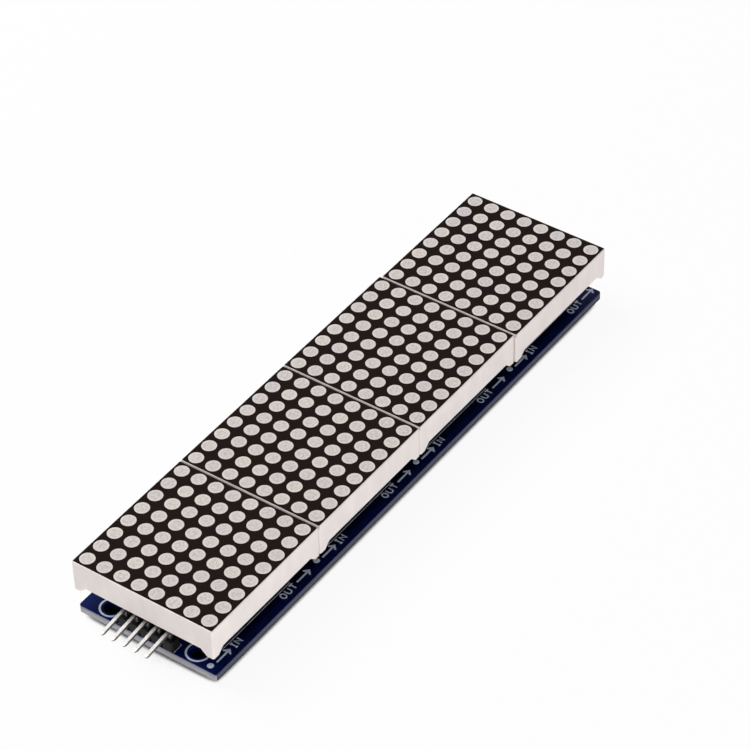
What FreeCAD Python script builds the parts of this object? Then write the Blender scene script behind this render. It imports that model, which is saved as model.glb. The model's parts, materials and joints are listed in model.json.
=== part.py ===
import FreeCAD, Part
import math
import os

# A row of four plug-in dot displays on one circuit board.
# Units are millimetres and degrees. The row runs along X with its input end at -X,
# Y goes across it, and Z is up. The solder joints under the board rest at Z = 0.
# The origin is the middle of the whole row, on the surface that it rests on.

# The row of displays
display_count = 4
display_gap = 0.15
display_seat_shift = 0.1
last_display_seat_shift = -0.3

# The face of one display, a square grid of round dots
dots_per_side = 8
dot_pitch = 4.0
dot_diameter = 3.0
face_border = 0.125

# The moulded housing of one display
wall_height = 5.7
rim_width = 0.85
upright_edge_round = 0.4
face_edge_round = 0.2
foot_drop = 1.3
foot_tip_width = 1.5
foot_root_width = 2.9
face_print_thickness = 0.05
face_print_corner_round = 0.1

# What the housing holds
resin_film = 0.3
led_board_thickness = 1.2
led_board_clearance = 0.1
display_pin_width = 0.5
display_pin_clearance = 0.05
display_row_inset = 4.0

# The sockets that the displays plug into
pin_pitch = 2.54
socket_width = 2.3
socket_height = 5.3
socket_floor = 0.3
mouth_clearance = 0.05
mouth_flare = 0.2
leaf_thickness = 0.2
leaf_end_clearance = 0.1
leaf_side_clearance = 0.15
leaf_setback = 0.6
contact_base_thickness = 0.3
pin_end_gap = 0.4
tail_length_x = 0.5
tail_width_y = 0.3
tail_slot_clearance = 0.05

# The circuit board, one tile under each display
board_thickness = 1.6
board_side_setback = 0.225
board_far_setback = 0.8
board_corner_round = 0.6
board_datum_round = 0.3
row_axis_shift = 0.35
tail_hole_clearance = 0.2
mount_hole_diameter = 3.2
mount_hole_inset_x = 2.9
mount_hole_spacing_y = 20.0

# Solder joints under the board
solder_drop = 1.4
solder_ring = 0.4
solder_skin = 0.1
solder_sides = 8

# The five-pin right-angle header at the input end
header_pin_count = 5
header_body_width = 2.5
header_body_height = 2.3
header_body_chamfer = 0.35
header_pin_width = 0.64
header_pin_clearance = 0.02
header_hole_clearance = 0.05
header_pin_rise = 1.15
header_bend_radius = 0.5
header_pin_droop = 5.8
header_pin_overhang = 6.0
header_tip_length = 0.6
header_tip_width = 0.3

# The driver chip under each display, a wide 24-lead package
chip_lead_count = 24
chip_lead_pitch = 1.27
chip_end_margin = 0.7
chip_width = 7.5
chip_height = 2.35
chip_standoff = 0.1
chip_draft = 0.25
lead_thickness = 0.25
lead_width = 0.42
lead_shoulder = 0.55
lead_foot = 0.8

# The small parts beside each chip
small_part_row_gap = 1.2
small_part_spacing = 2.4
bulk_capacitor_length = 3.2
bulk_capacitor_width = 1.6
bulk_capacitor_height = 1.6
bypass_capacitor_length = 2.0
bypass_capacitor_width = 1.25
bypass_capacitor_height = 0.9
set_resistor_length = 2.0
set_resistor_width = 1.25
set_resistor_height = 0.55
end_cap_share = 0.22
end_cap_relief = 0.04

# Sizes that follow from those above
display_side = dots_per_side * dot_pitch + 2 * face_border
display_pitch = display_side + display_gap
row_length = display_count * display_pitch - display_gap
pocket_side = display_side - 2 * rim_width
pocket_depth = resin_film + led_board_thickness
led_board_side = pocket_side - 2 * led_board_clearance
pin_row_spacing = dots_per_side * dot_pitch - 2 * display_row_inset
pins_per_row = dots_per_side
socket_length = pins_per_row * pin_pitch
mouth_length = display_pin_width + 2 * (leaf_thickness + leaf_end_clearance)
seat_play = max(abs(display_seat_shift), abs(last_display_seat_shift))
mouth_width = display_pin_width + 2 * (seat_play + mouth_clearance)
leaf_width = mouth_width - 2 * leaf_side_clearance
display_pin_reach = socket_height - socket_floor - contact_base_thickness - pin_end_gap
tail_diagonal = math.hypot(tail_length_x, tail_width_y)
tail_hole_diameter = tail_diagonal + 2 * tail_hole_clearance
board_length = row_length - board_far_setback
board_width = display_side - 2 * board_side_setback
header_length = header_pin_count * pin_pitch
header_inset = header_body_width / 2
header_pin_diagonal = math.hypot(header_pin_width, header_pin_width)
header_hole_diameter = header_pin_diagonal + 2 * header_hole_clearance
chip_leads_per_side = chip_lead_count // 2
chip_length = (chip_leads_per_side - 1) * chip_lead_pitch + 2 * chip_end_margin

# Heights of the layers
board_bottom = solder_drop
board_top = board_bottom + board_thickness
seat_level = board_top + socket_height
face_level = seat_level + wall_height
print_level = face_level - face_print_thickness

# The middle of the whole row, header pins included
row_middle_x = (row_length - header_pin_overhang) / 2
row_axis_y = board_width / 2 + row_axis_shift
row_middle_y = row_axis_y + (display_seat_shift + last_display_seat_shift) / 2


def vec(x, y, z):
    return FreeCAD.Vector(x, y, z)


def box_between(low, high):
    size = [b - a for a, b in zip(low, high)]
    return Part.makeBox(size[0], size[1], size[2], vec(*low))


def centred_box(length, width, bottom, top, x=0.0, y=0.0):
    low = (x - length / 2, y - width / 2, bottom)
    high = (x + length / 2, y + width / 2, top)
    return box_between(low, high)


def square_at(side, z, x=0.0, y=0.0):
    half = side / 2
    corners = [(-half, -half), (half, -half), (half, half), (-half, half)]
    points = [vec(x + a, y + b, z) for a, b in corners]
    return Part.makePolygon(points + points[:1])


def moved(shape, x, y, z=0.0):
    copy = shape.copy()
    copy.translate(vec(x, y, z))
    return copy


def spread(count, pitch):
    """Places along a line, evenly spaced about its middle."""
    return [(i - (count - 1) / 2) * pitch for i in range(count)]


def display_centre(index):
    """Displays sit in the play of their sockets, the last one the other way."""
    last = index == display_count - 1
    shift = last_display_seat_shift if last else display_seat_shift
    return display_side / 2 + index * display_pitch, row_axis_y + shift


def tile_centre(index):
    """The middle of the sockets on the board's tile under one display."""
    return display_side / 2 + index * display_pitch, row_axis_y


def socket_row_places():
    """The y of the front and rear pin rows, about the tile's middle."""
    return [-pin_row_spacing / 2, pin_row_spacing / 2]


def save(name, shape):
    """Writes one node, moved from the board's corner to the row's own origin."""
    placed = moved(shape, -row_middle_x, -row_middle_y)
    placed.exportStep(os.path.join("parts", name + ".step"))


# The display

def dot_wells():
    """Round wells from the face down to the pocket of the moulding."""
    floor = seat_level + pocket_depth
    wells = []
    for x in spread(dots_per_side, dot_pitch):
        for y in spread(dots_per_side, dot_pitch):
            wells.append(Part.makeCylinder(dot_diameter / 2, face_level - floor, vec(x, y, floor)))
    return wells


def corner_foot(sign_x, sign_y):
    """A foot that widens up into the wall, flush with the two outer faces of its corner."""
    sections = []
    levels = [(foot_tip_width, seat_level - foot_drop), (foot_root_width, seat_level)]
    for width, z in levels:
        centre = display_side / 2 - width / 2
        sections.append(square_at(width, z, sign_x * centre, sign_y * centre))
    return Part.makeLoft(sections, True, True)


def display_housing():
    """The moulding: one block with four feet, a pocket behind and a grid of wells."""
    block = centred_box(display_side, display_side, seat_level, print_level)
    feet = [corner_foot(a, b) for a in (-1, 1) for b in (-1, 1)]
    body = block.multiFuse(feet).removeSplitter()
    half = display_side / 2
    corners = []
    for edge in body.Edges:
        ends = edge.BoundBox
        upright = ends.ZLength > foot_drop and ends.XLength + ends.YLength < upright_edge_round
        if upright and abs(ends.Center.x) + abs(ends.Center.y) > 2 * half - upright_edge_round:
            corners.append(edge)
    body = body.makeFillet(upright_edge_round, corners)
    rim = [edge for edge in body.Edges if edge.BoundBox.ZMin > print_level - face_edge_round]
    body = body.makeFillet(face_edge_round, rim)
    pocket = centred_box(pocket_side, pocket_side, seat_level - foot_drop, seat_level + pocket_depth)
    return body.cut(Part.makeCompound([pocket] + dot_wells()))


def face_print():
    """The black layer printed on the flat of the moulding's face, open at every dot."""
    side = display_side - 2 * face_edge_round
    layer = centred_box(side, side, print_level, face_level)
    uprights = [edge for edge in layer.Edges if edge.BoundBox.ZLength > face_print_thickness / 2]
    return layer.makeFillet(face_print_corner_round, uprights).cut(Part.makeCompound(dot_wells()))


def display_resin():
    """Clear casting: one plug in each well, joined by the film that beds the inner board."""
    film_bottom = seat_level + led_board_thickness
    film = centred_box(pocket_side, pocket_side, film_bottom, film_bottom + resin_film)
    return film.multiFuse(dot_wells()).removeSplitter()


def display_pin_places():
    places = []
    for y in socket_row_places():
        places += [(x, y) for x in spread(pins_per_row, pin_pitch)]
    return places


def display_led_board():
    """The board that carries the light chips, bored for the two rows of pins."""
    top = seat_level + led_board_thickness
    board = centred_box(led_board_side, led_board_side, seat_level, top)
    hole = display_pin_width + 2 * display_pin_clearance
    holes = [centred_box(hole, hole, seat_level, top, x, y) for x, y in display_pin_places()]
    return board.cut(Part.makeCompound(holes))


def display_pins():
    """Sixteen straight pins from the inner board down into the sockets."""
    top = seat_level + led_board_thickness
    bottom = seat_level - display_pin_reach
    width = display_pin_width
    return Part.makeCompound([centred_box(width, width, bottom, top, x, y) for x, y in display_pin_places()])


# The sockets

def socket_body():
    """One strip with a flared mouth, a cavity and a tail slot for each contact."""
    strip = centred_box(socket_length, socket_width, board_top, seat_level)
    slot_x = tail_length_x + 2 * tail_slot_clearance
    slot_y = tail_width_y + 2 * tail_slot_clearance
    cuts = []
    for x in spread(pins_per_row, pin_pitch):
        cuts.append(centred_box(mouth_length, mouth_width, board_top + socket_floor, seat_level, x))
        cuts.append(centred_box(slot_x, slot_y, board_top, board_top + socket_floor, x))
        flare_bottom = seat_level - mouth_flare
        lower = square_at(mouth_length, flare_bottom, x)
        upper = square_at(mouth_length + 2 * mouth_flare, seat_level, x)
        cuts.append(Part.makeLoft([lower, upper], True, True))
    return strip.cut(Part.makeCompound(cuts))


def socket_contact():
    """A forked spring: two leaves that grip the pin, a base on the floor and a tail."""
    base_bottom = board_top + socket_floor
    base_top = base_bottom + contact_base_thickness
    leaf_top = seat_level - leaf_setback
    outer = display_pin_width + 2 * leaf_thickness
    base = centred_box(outer, leaf_width, base_bottom, base_top)
    leaf_x = display_pin_width / 2 + leaf_thickness / 2
    leaves = [centred_box(leaf_thickness, leaf_width, base_top, leaf_top, side * leaf_x) for side in (-1, 1)]
    tail = centred_box(tail_length_x, tail_width_y, 0.0, base_bottom)
    return base.multiFuse(leaves + [tail]).removeSplitter()


def socket_contacts():
    contact = socket_contact()
    return Part.makeCompound([moved(contact, x, y) for x, y in display_pin_places()])


def solder_joint(lead_x, lead_y, hole_diameter):
    """Solder drawn down from one hole to the tip of its lead, flat-sided to keep it light."""
    tip_radius = math.hypot(lead_x, lead_y) / 2 + solder_skin
    base_radius = hole_diameter / 2 + solder_ring
    sections = [solder_section(tip_radius, 0.0), solder_section(base_radius, solder_drop)]
    joint = Part.makeLoft(sections, True, True)
    return joint.cut(centred_box(lead_x, lead_y, 0.0, solder_drop))


def solder_section(radius, z):
    """A regular polygon whose flats touch a circle of the given radius."""
    half_turn = math.pi / solder_sides
    corner = radius / math.cos(half_turn)
    angles = [(2 * i + 1) * half_turn for i in range(solder_sides)]
    points = [vec(corner * math.cos(a), corner * math.sin(a), z) for a in angles]
    return Part.makePolygon(points + points[:1])


def socket_solder():
    joint = solder_joint(tail_length_x, tail_width_y, tail_hole_diameter)
    return Part.makeCompound([moved(joint, x, y) for x, y in display_pin_places()])


# The circuit board

def board_outline():
    """A long plate with rounded corners, the corner by the first mark almost square."""
    plate = box_between((0.0, 0.0, board_bottom), (board_length, board_width, board_top))
    datum = []
    others = []
    for edge in plate.Edges:
        if edge.BoundBox.ZLength < board_thickness / 2:
            continue
        centre = edge.BoundBox.Center
        near_datum = centre.x < board_length / 2 and centre.y < board_width / 2
        (datum if near_datum else others).append(edge)
    plate = plate.makeFillet(board_corner_round, others)
    for edge in plate.Edges:
        ends = edge.BoundBox
        if ends.ZLength > board_thickness / 2 and ends.Center.x + ends.Center.y < board_datum_round:
            return plate.makeFillet(board_datum_round, [edge])
    return plate


def tile_end_places(inset):
    """The x of what lies at an inset from both ends of every tile."""
    places = []
    for index in range(display_count):
        start = index * display_pitch
        places += [start + inset, start + display_pitch - board_far_setback - inset]
    return places


def header_hole_places():
    """Places of the rows of five holes at both ends of every tile."""
    places = []
    for x in tile_end_places(header_inset):
        places += [(x, row_axis_y + y) for y in spread(header_pin_count, pin_pitch)]
    return places


def mount_hole_places():
    places = []
    for x in tile_end_places(mount_hole_inset_x):
        places += [(x, row_axis_y + side * mount_hole_spacing_y / 2) for side in (-1, 1)]
    return places


def circuit_board():
    """The board with its screw holes, header holes and holes for the socket tails."""
    plate = board_outline()
    cuts = [round_hole(header_hole_diameter, x, y) for x, y in header_hole_places()]
    cuts += [round_hole(mount_hole_diameter, x, y) for x, y in mount_hole_places()]
    for index in range(display_count):
        centre_x, centre_y = tile_centre(index)
        for x, y in display_pin_places():
            cuts.append(round_hole(tail_hole_diameter, centre_x + x, centre_y + y))
    return plate.cut(Part.makeCompound(cuts))


def round_hole(diameter, x, y):
    return Part.makeCylinder(diameter / 2, board_thickness, vec(x, y, board_bottom))


# The input header

def header_body():
    """Five joined blocks of moulded plastic, chamfered where they meet."""
    body = centred_box(header_body_width, header_length, board_top, board_top + header_body_height)
    cuts = []
    for y in spread(header_pin_count + 1, pin_pitch):
        for side in (-1, 1):
            cuts.append(chamfer_notch(side * header_body_width / 2, y))
    hole = header_pin_width + 2 * header_pin_clearance
    for y in spread(header_pin_count, pin_pitch):
        cuts.append(centred_box(hole, hole, board_top, board_top + header_body_height, 0.0, y))
    return body.cut(Part.makeCompound(cuts))


def chamfer_notch(x, y):
    """An upright square bar on its corner, which leaves a V notch in the side of the body."""
    points = [(x - header_body_chamfer, y), (x, y - header_body_chamfer)]
    points += [(x + header_body_chamfer, y), (x, y + header_body_chamfer)]
    corners = [vec(a, b, board_top) for a, b in points]
    face = Part.Face(Part.makePolygon(corners + corners[:1]))
    return face.extrude(vec(0, 0, header_body_height))


def header_pin():
    """A square pin: up through the board and body, over a bend, and out past the board's end."""
    width = header_pin_width
    bend_start = board_top + header_body_height + header_pin_rise
    turn = 90.0 + header_pin_droop
    droop = math.radians(header_pin_droop)
    pivot = vec(-header_bend_radius, 0.0, bend_start)
    upright = centred_box(width, width, 0.0, bend_start)
    bend = Part.Face(square_at(width, bend_start)).revolve(pivot, vec(0, -1, 0), turn)
    bend_end_x = -header_bend_radius * (1 + math.sin(droop))
    reach = header_inset + header_pin_overhang + bend_end_x - header_tip_width / 2 * math.sin(droop)
    tip_start = bend_start + reach / math.cos(droop) - header_tip_length
    bar = centred_box(width, width, bend_start, tip_start)
    blunt = square_at(width, tip_start)
    point = square_at(header_tip_width, tip_start + header_tip_length)
    arm = bar.fuse(Part.makeLoft([blunt, point], True, True))
    arm.rotate(pivot, vec(0, -1, 0), turn)
    return upright.multiFuse([bend, arm]).removeSplitter()


def header_pins():
    pin = header_pin()
    return Part.makeCompound([moved(pin, 0.0, y) for y in spread(header_pin_count, pin_pitch)])


def header_solder():
    joint = solder_joint(header_pin_width, header_pin_width, header_hole_diameter)
    return Part.makeCompound([moved(joint, 0.0, y) for y in spread(header_pin_count, pin_pitch)])


# The driver chip and the small parts beside it

def chip_body():
    """Moulded body that narrows above and below the line where its leads come out."""
    bottom = board_top + chip_standoff
    middle = bottom + chip_height / 2
    top = bottom + chip_height
    inset = chip_draft
    halves = []
    for end in (bottom, top):
        sections = []
        for z, trim in ((end, inset), (middle, 0.0)):
            half_x = chip_length / 2 - trim
            half_y = chip_width / 2 - trim
            corners = [(-half_x, -half_y), (half_x, -half_y), (half_x, half_y), (-half_x, half_y)]
            points = [vec(a, b, z) for a, b in corners]
            sections.append(Part.makePolygon(points + points[:1]))
        halves.append(Part.makeLoft(sections, True, True))
    return halves[0].fuse(halves[1]).removeSplitter()


def chip_lead(side):
    """A folded lead: out of the body's middle, down, and flat on the board."""
    start = chip_width / 2
    knee = start + lead_shoulder
    end = knee + lead_foot
    upper = chip_standoff + chip_height / 2 + lead_thickness / 2
    strip = lead_thickness
    outline = [(start, upper), (knee, upper), (knee, strip), (end, strip), (end, 0.0)]
    outline += [(knee - strip, 0.0), (knee - strip, upper - strip), (start, upper - strip)]
    points = [vec(-lead_width / 2, side * y, board_top + z) for y, z in outline]
    face = Part.Face(Part.makePolygon(points + points[:1]))
    return face.extrude(vec(lead_width, 0, 0))


def seated_lead(side):
    """The lead trimmed where it would run into the drafted side of the body."""
    return chip_lead(side).cut(chip_body())


def chip_leads():
    leads = []
    for side in (-1, 1):
        lead = seated_lead(side)
        leads += [moved(lead, x, 0.0) for x in spread(chip_leads_per_side, chip_lead_pitch)]
    return Part.makeCompound(leads)


def small_part(length, width, height):
    """A fired block with a slightly thicker metal cap on each end."""
    relief = end_cap_relief
    core = centred_box(length, width - 2 * relief, board_top + relief, board_top + height - relief)
    cap = end_cap_share * length
    caps = []
    for side in (-1, 1):
        caps.append(centred_box(cap, width, board_top, board_top + height, side * (length - cap) / 2))
    return core.multiFuse(caps).removeSplitter()


def small_parts():
    """Three small parts in a row, clear of the chip's front leads."""
    lead_end = chip_width / 2 + lead_shoulder + lead_foot
    y = -(lead_end + small_part_row_gap + bulk_capacitor_width / 2)
    bulk_x = -(bypass_capacitor_length + bulk_capacitor_length) / 2 - small_part_spacing
    resistor_x = (bypass_capacitor_length + set_resistor_length) / 2 + small_part_spacing
    bulk = small_part(bulk_capacitor_length, bulk_capacitor_width, bulk_capacitor_height)
    bypass = small_part(bypass_capacitor_length, bypass_capacitor_width, bypass_capacitor_height)
    resistor = small_part(set_resistor_length, set_resistor_width, set_resistor_height)
    return {
        "bulk_capacitor": moved(bulk, bulk_x, y),
        "bypass_capacitor": moved(bypass, 0.0, y),
        "set_resistor": moved(resistor, resistor_x, y),
    }


# Writing the row

def display_pieces():
    """The pieces that come away with one display when it is pulled off."""
    return {
        "display_housing": display_housing(),
        "face_print": face_print(),
        "display_resin": display_resin(),
        "display_led_board": display_led_board(),
        "display_pins": display_pins(),
    }


def tile_pieces():
    """The pieces that are soldered to the tile of board under one display."""
    front_y, rear_y = socket_row_places()
    pieces = {
        "socket_front": moved(socket_body(), 0.0, front_y),
        "socket_rear": moved(socket_body(), 0.0, rear_y),
        "socket_contacts": socket_contacts(),
        "solder_joints": socket_solder(),
        "driver_chip": chip_body(),
        "driver_leads": chip_leads(),
    }
    pieces.update(small_parts())
    return pieces


def header_pieces():
    return {"header_body": header_body(), "header_pins": header_pins(), "header_solder": header_solder()}


def write_row():
    os.makedirs("parts", exist_ok=True)
    on_display = display_pieces()
    on_tile = tile_pieces()
    for index in range(display_count):
        number = "_%d" % (index + 1)
        for pieces, centre in ((on_display, display_centre(index)), (on_tile, tile_centre(index))):
            for name, shape in pieces.items():
                save(name + number, moved(shape, centre[0], centre[1]))
    for name, shape in header_pieces().items():
        save(name, moved(shape, header_inset, row_axis_y))
    save("circuit_board", circuit_board())


write_row()
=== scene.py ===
import json
import math

import bmesh
import bpy
from bpy.props import FloatProperty, FloatVectorProperty, PointerProperty
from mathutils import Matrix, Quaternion, Vector


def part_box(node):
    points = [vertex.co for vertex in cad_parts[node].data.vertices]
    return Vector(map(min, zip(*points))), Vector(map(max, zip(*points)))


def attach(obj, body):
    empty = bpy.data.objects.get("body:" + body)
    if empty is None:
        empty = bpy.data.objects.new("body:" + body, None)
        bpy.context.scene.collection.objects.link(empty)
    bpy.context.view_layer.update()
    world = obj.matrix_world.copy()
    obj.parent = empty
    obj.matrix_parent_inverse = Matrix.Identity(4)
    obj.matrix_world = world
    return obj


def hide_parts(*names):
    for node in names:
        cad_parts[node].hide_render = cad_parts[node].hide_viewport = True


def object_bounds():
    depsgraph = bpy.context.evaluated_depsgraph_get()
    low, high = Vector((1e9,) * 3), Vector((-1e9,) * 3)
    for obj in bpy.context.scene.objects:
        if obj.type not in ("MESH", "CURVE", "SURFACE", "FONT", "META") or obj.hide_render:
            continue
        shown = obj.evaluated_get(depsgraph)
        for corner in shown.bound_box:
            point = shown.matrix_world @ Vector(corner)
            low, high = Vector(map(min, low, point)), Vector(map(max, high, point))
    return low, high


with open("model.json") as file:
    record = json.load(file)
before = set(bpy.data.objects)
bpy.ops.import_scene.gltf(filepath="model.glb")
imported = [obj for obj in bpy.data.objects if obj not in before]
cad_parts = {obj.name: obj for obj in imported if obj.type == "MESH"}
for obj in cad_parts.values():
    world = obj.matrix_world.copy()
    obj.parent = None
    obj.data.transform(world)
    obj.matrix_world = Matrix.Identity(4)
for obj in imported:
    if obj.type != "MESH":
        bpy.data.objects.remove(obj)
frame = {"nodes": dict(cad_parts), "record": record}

bl_info = {
    "name": "Dot Display Row Finish",
    "version": (1, 0, 0),
    "blender": (4, 5, 0),
    "location": "3D View > Sidebar > Display Row",
    "description": "Surfaces, printed marks, solder and a studio for a row of plug-in dot displays",
    "category": "Object",
}

# Lengths are written in millimetres, and multiplied by MM where metres are needed.
MM = 0.001

# The row, from the frame
CAD_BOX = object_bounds()
TILES = sum(name.startswith("display_housing_") for name in frame["nodes"])
TILE_PITCH = (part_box("socket_front_2")[0].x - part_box("socket_front_1")[0].x) / MM
BOARD_LOW, BOARD_HIGH = [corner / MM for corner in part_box("circuit_board")]
BOARD_THICKNESS = BOARD_HIGH.z - BOARD_LOW.z
SOCKET_LOW, SOCKET_HIGH = [corner / MM - BOARD_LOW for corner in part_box("socket_front_1")]
HEADER_LOW, HEADER_HIGH = [corner / MM - BOARD_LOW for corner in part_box("header_body")]
SCREWS = next(mount for mount in frame["record"]["mounts"] if mount["kind"] == "bolt_pattern")
TILE_MIDDLE = Vector(SCREWS["pos_m"]) / MM - BOARD_LOW

# Pins and holes on each tile of the board
PIN_PITCH = 2.54
SOCKET_PINS = 8
HEADER_PINS = 5
HEADER_HOLE = 1.005

# The dots of one display
DOT_PITCH = 4.0
DOT_RADIUS = 1.5

# Marks on each tile, from its first corner: arrow tails, the words' foot and left sides, the spot
ARROW_TAILS = ((2.73, 1.92), (27.23, 2.0))
WORD_FOOT = 1.25
IN_LEFT = 7.53
OUT_LEFT = 22.43
SPOT_PLACE = (1.42, 2.34)
OUTLINE_MARGIN = 0.1
OUTLINE_START = 0.3

# Solder joints: the height they start at, the bevel of their tip inwards and upwards, how hollow
# their flank is, and the radii of tip and base under a socket and under the header
JOINT_START = 0.12
JOINT_BEVEL = (0.05, 0.04)
JOINT_HOLLOW = 2.5
SOCKET_JOINT = (0.39, 0.89)
HEADER_JOINT = (0.53, 0.9)

# Rounding of the header block's edges
BLOCK_ROUNDING = 0.12

# The camera, where the photograph was taken from, aimed at the plane of the display faces
CAMERA_PLACE = Vector((-376.23, -286.16, 441.26))
CAMERA_AIM = Vector((10.61, -0.13, 14.0))
CAMERA_ROLL = math.radians(-1.675)
CAMERA_LENS = 160.36
CAMERA_SENSOR = 36.0


def linear(hex_colour):
    """An sRGB colour such as #EAE1DC, as linear red, green, blue and alpha."""
    values = []
    for start in (1, 3, 5):
        share = int(hex_colour[start:start + 2], 16) / 255
        values.append(share / 12.92 if share <= 0.04045 else ((share + 0.055) / 1.055) ** 2.4)
    return (*values, 1.0)


def shaded(colour, factor):
    return (*[min(1.0, part * factor) for part in colour[:3]], 1.0)


def colour_field(label, note, hex_colour):
    return FloatVectorProperty(
        name=label, description=note, default=linear(hex_colour),
        size=4, min=0.0, max=1.0, subtype="COLOR",
    )


def length_field(label, note, millimetres):
    return FloatProperty(
        name=label, description=note, default=millimetres * MM,
        min=0.0, precision=5, unit="LENGTH",
    )


def power_field(label, note, watts):
    return FloatProperty(name=label, description=note, default=watts, min=0.0, unit="POWER")


class FinishColours(bpy.types.PropertyGroup):
    """Colours of the row's surfaces."""

    housing: colour_field("Housing", "Moulded walls of the displays", "#E7DEDB")
    face_ink: colour_field("Face ink", "Layer printed on the display faces", "#170D0A")
    dot: colour_field("Dot", "Diffusing resin of the dots", "#D8D0CD")
    inner_board: colour_field("Inner board", "Boards inside the displays", "#D4D6CA")
    lacquer: colour_field("Lacquer", "Solder mask of the circuit board", "#07164E")
    sawn_edge: colour_field("Sawn edge", "Laminate at the two ends of the circuit board", "#A9A8AE")
    routed_edge: colour_field("Routed edge", "Laminate along the sides of the circuit board", "#5C5E69")
    legend: colour_field("Legend", "Marks printed on the circuit board", "#DCE5FF")
    black_plastic: colour_field("Black plastic", "Sockets and header block", "#0D0C0D")
    tin: colour_field("Tin plate", "Pins and leads", "#DEDBD6")
    solder: colour_field("Solder", "Joints and plated rings", "#C6C7C9")
    bronze: colour_field("Spring bronze", "Contacts in the sockets", "#CDBE9E")
    chip: colour_field("Chip", "Moulding of the driver chips", "#232325")
    ceramic: colour_field("Ceramic", "Bodies of the capacitors", "#A38468")
    glaze: colour_field("Glaze", "Bodies of the resistors", "#202124")


class MarkSizes(bpy.types.PropertyGroup):
    """Sizes of what is printed, plated or soldered on the circuit board."""

    ink_height: length_field("Ink height", "Height of the printed marks above the lacquer", 0.03)
    line_width: length_field("Line width", "Stroke of the arrows and rings", 0.4)
    word_width: length_field("Word width", "Stroke of the words", 0.3)
    outline_width: length_field("Outline width", "Stroke of the socket and header outlines", 0.08)
    arrow_length: length_field("Arrow length", "From tail to point", 3.9)
    arrow_head: length_field("Arrow head", "From the point back to the ends of its arms", 0.95)
    letter_height: length_field("Letter height", "Height of the words, between stroke middles", 1.32)
    letter_width: length_field("Letter width", "Width of a letter, between stroke middles", 0.98)
    letter_gap: length_field("Letter gap", "Space between letters, between stroke middles", 0.55)
    ring_diameter: length_field("Ring diameter", "Middle of the ring round a screw hole", 4.57)
    first_mark: length_field("First mark", "Diameter of the round mark at each tile's first corner", 1.3)
    plated_ring: length_field("Plated ring", "Outer diameter of the plating round a header hole", 1.75)
    plating: length_field("Plating", "Thickness of the plating", 0.03)


class StudioSettings(bpy.types.PropertyGroup):
    """The paper floor and the lights."""

    paper: colour_field("Paper", "Seamless paper under the row", "#F2F2F2")
    ambient: FloatProperty(name="Ambient", description="Light from all round", default=0.25, min=0.0)
    key_light: power_field("Key light", "Softbox high up behind the row", 12.0)
    side_light: power_field("Side light", "Low, wide softbox before the marked edge", 1.2)
    end_light: power_field("End light", "Low, wide softbox before the input end", 0.28)


def add_node(tree, kind, settings, inputs):
    """Adds a node, sets it up, and feeds its inputs, by identifier, with values or outputs."""
    node = tree.nodes.new(kind)
    for key, value in settings.items():
        setattr(node, key, value)
    sockets = {socket.identifier: socket for socket in node.inputs}
    for key, value in inputs.items():
        if isinstance(value, bpy.types.NodeSocket):
            tree.links.new(value, sockets[key])
        else:
            sockets[key].default_value = value
    return {socket.identifier: socket for socket in node.outputs}


def emptied(owner):
    """The node tree of a material or a world, with no nodes in it."""
    owner.use_nodes = True
    owner.node_tree.nodes.clear()
    return owner.node_tree


# Surfaces

def new_surface(name, constants):
    """A material with one surface shader; returns it, its tree, the shader's inputs and the place."""
    material = bpy.data.materials.new(name)
    tree = emptied(material)
    shader = add_node(tree, "ShaderNodeBsdfPrincipled", {}, constants)["BSDF"]
    add_node(tree, "ShaderNodeOutputMaterial", {}, {"Surface": shader})
    place = add_node(tree, "ShaderNodeTexCoord", {}, {})["Object"]
    return material, tree, shader.node.inputs, place


def patches(tree, place, size, stretch=(1.0, 1.0, 1.0), detail=2.0):
    """Soft random patches from 0 to 1, of a size in millimetres, drawn out by stretch."""
    scale = [1 / (size * MM * side) for side in stretch]
    spaced = add_node(tree, "ShaderNodeMapping", {}, {"Vector": place, "Scale": scale})
    noise = add_node(
        tree, "ShaderNodeTexNoise", {},
        {"Vector": spaced["Vector"], "Scale": 1.0, "Detail": detail},
    )
    return add_node(
        tree, "ShaderNodeMapRange", {"interpolation_type": "SMOOTHSTEP"},
        {"Value": noise["Fac"], "From Min": 0.3, "From Max": 0.7},
    )["Result"]


def mottle(tree, cloud, colour, depth):
    """A colour that the patches make darker and lighter by a share."""
    dark, light = shaded(colour, 1 - depth), shaded(colour, 1 + depth)
    return add_node(
        tree, "ShaderNodeMix", {"data_type": "RGBA"},
        {"Factor_Float": cloud, "A_Color": dark, "B_Color": light},
    )["Result_Color"]


def give_skin(tree, inputs, grain, relief, roughness, spread):
    """Raises the grain by a relief in millimetres and lets it vary the roughness."""
    gloss = add_node(
        tree, "ShaderNodeMapRange", {},
        {"Value": grain, "To Min": roughness - spread, "To Max": roughness + spread},
    )
    tree.links.new(gloss["Result"], inputs["Roughness"])
    bump = add_node(tree, "ShaderNodeBump", {}, {"Height": grain, "Distance": relief * MM})
    tree.links.new(bump["Normal"], inputs["Normal"])


def grained_surface(name, constants, colour, depth, size, relief, spread, stretch=(1.0, 1.0, 1.0)):
    """A finish of one colour with a fine grain of its own."""
    material, tree, inputs, place = new_surface(name, constants)
    grain = patches(tree, place, size, stretch, detail=3.0)
    tree.links.new(mottle(tree, grain, colour, depth), inputs["Base Color"])
    give_skin(tree, inputs, grain, relief, constants["Roughness"], spread)
    return material


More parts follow.
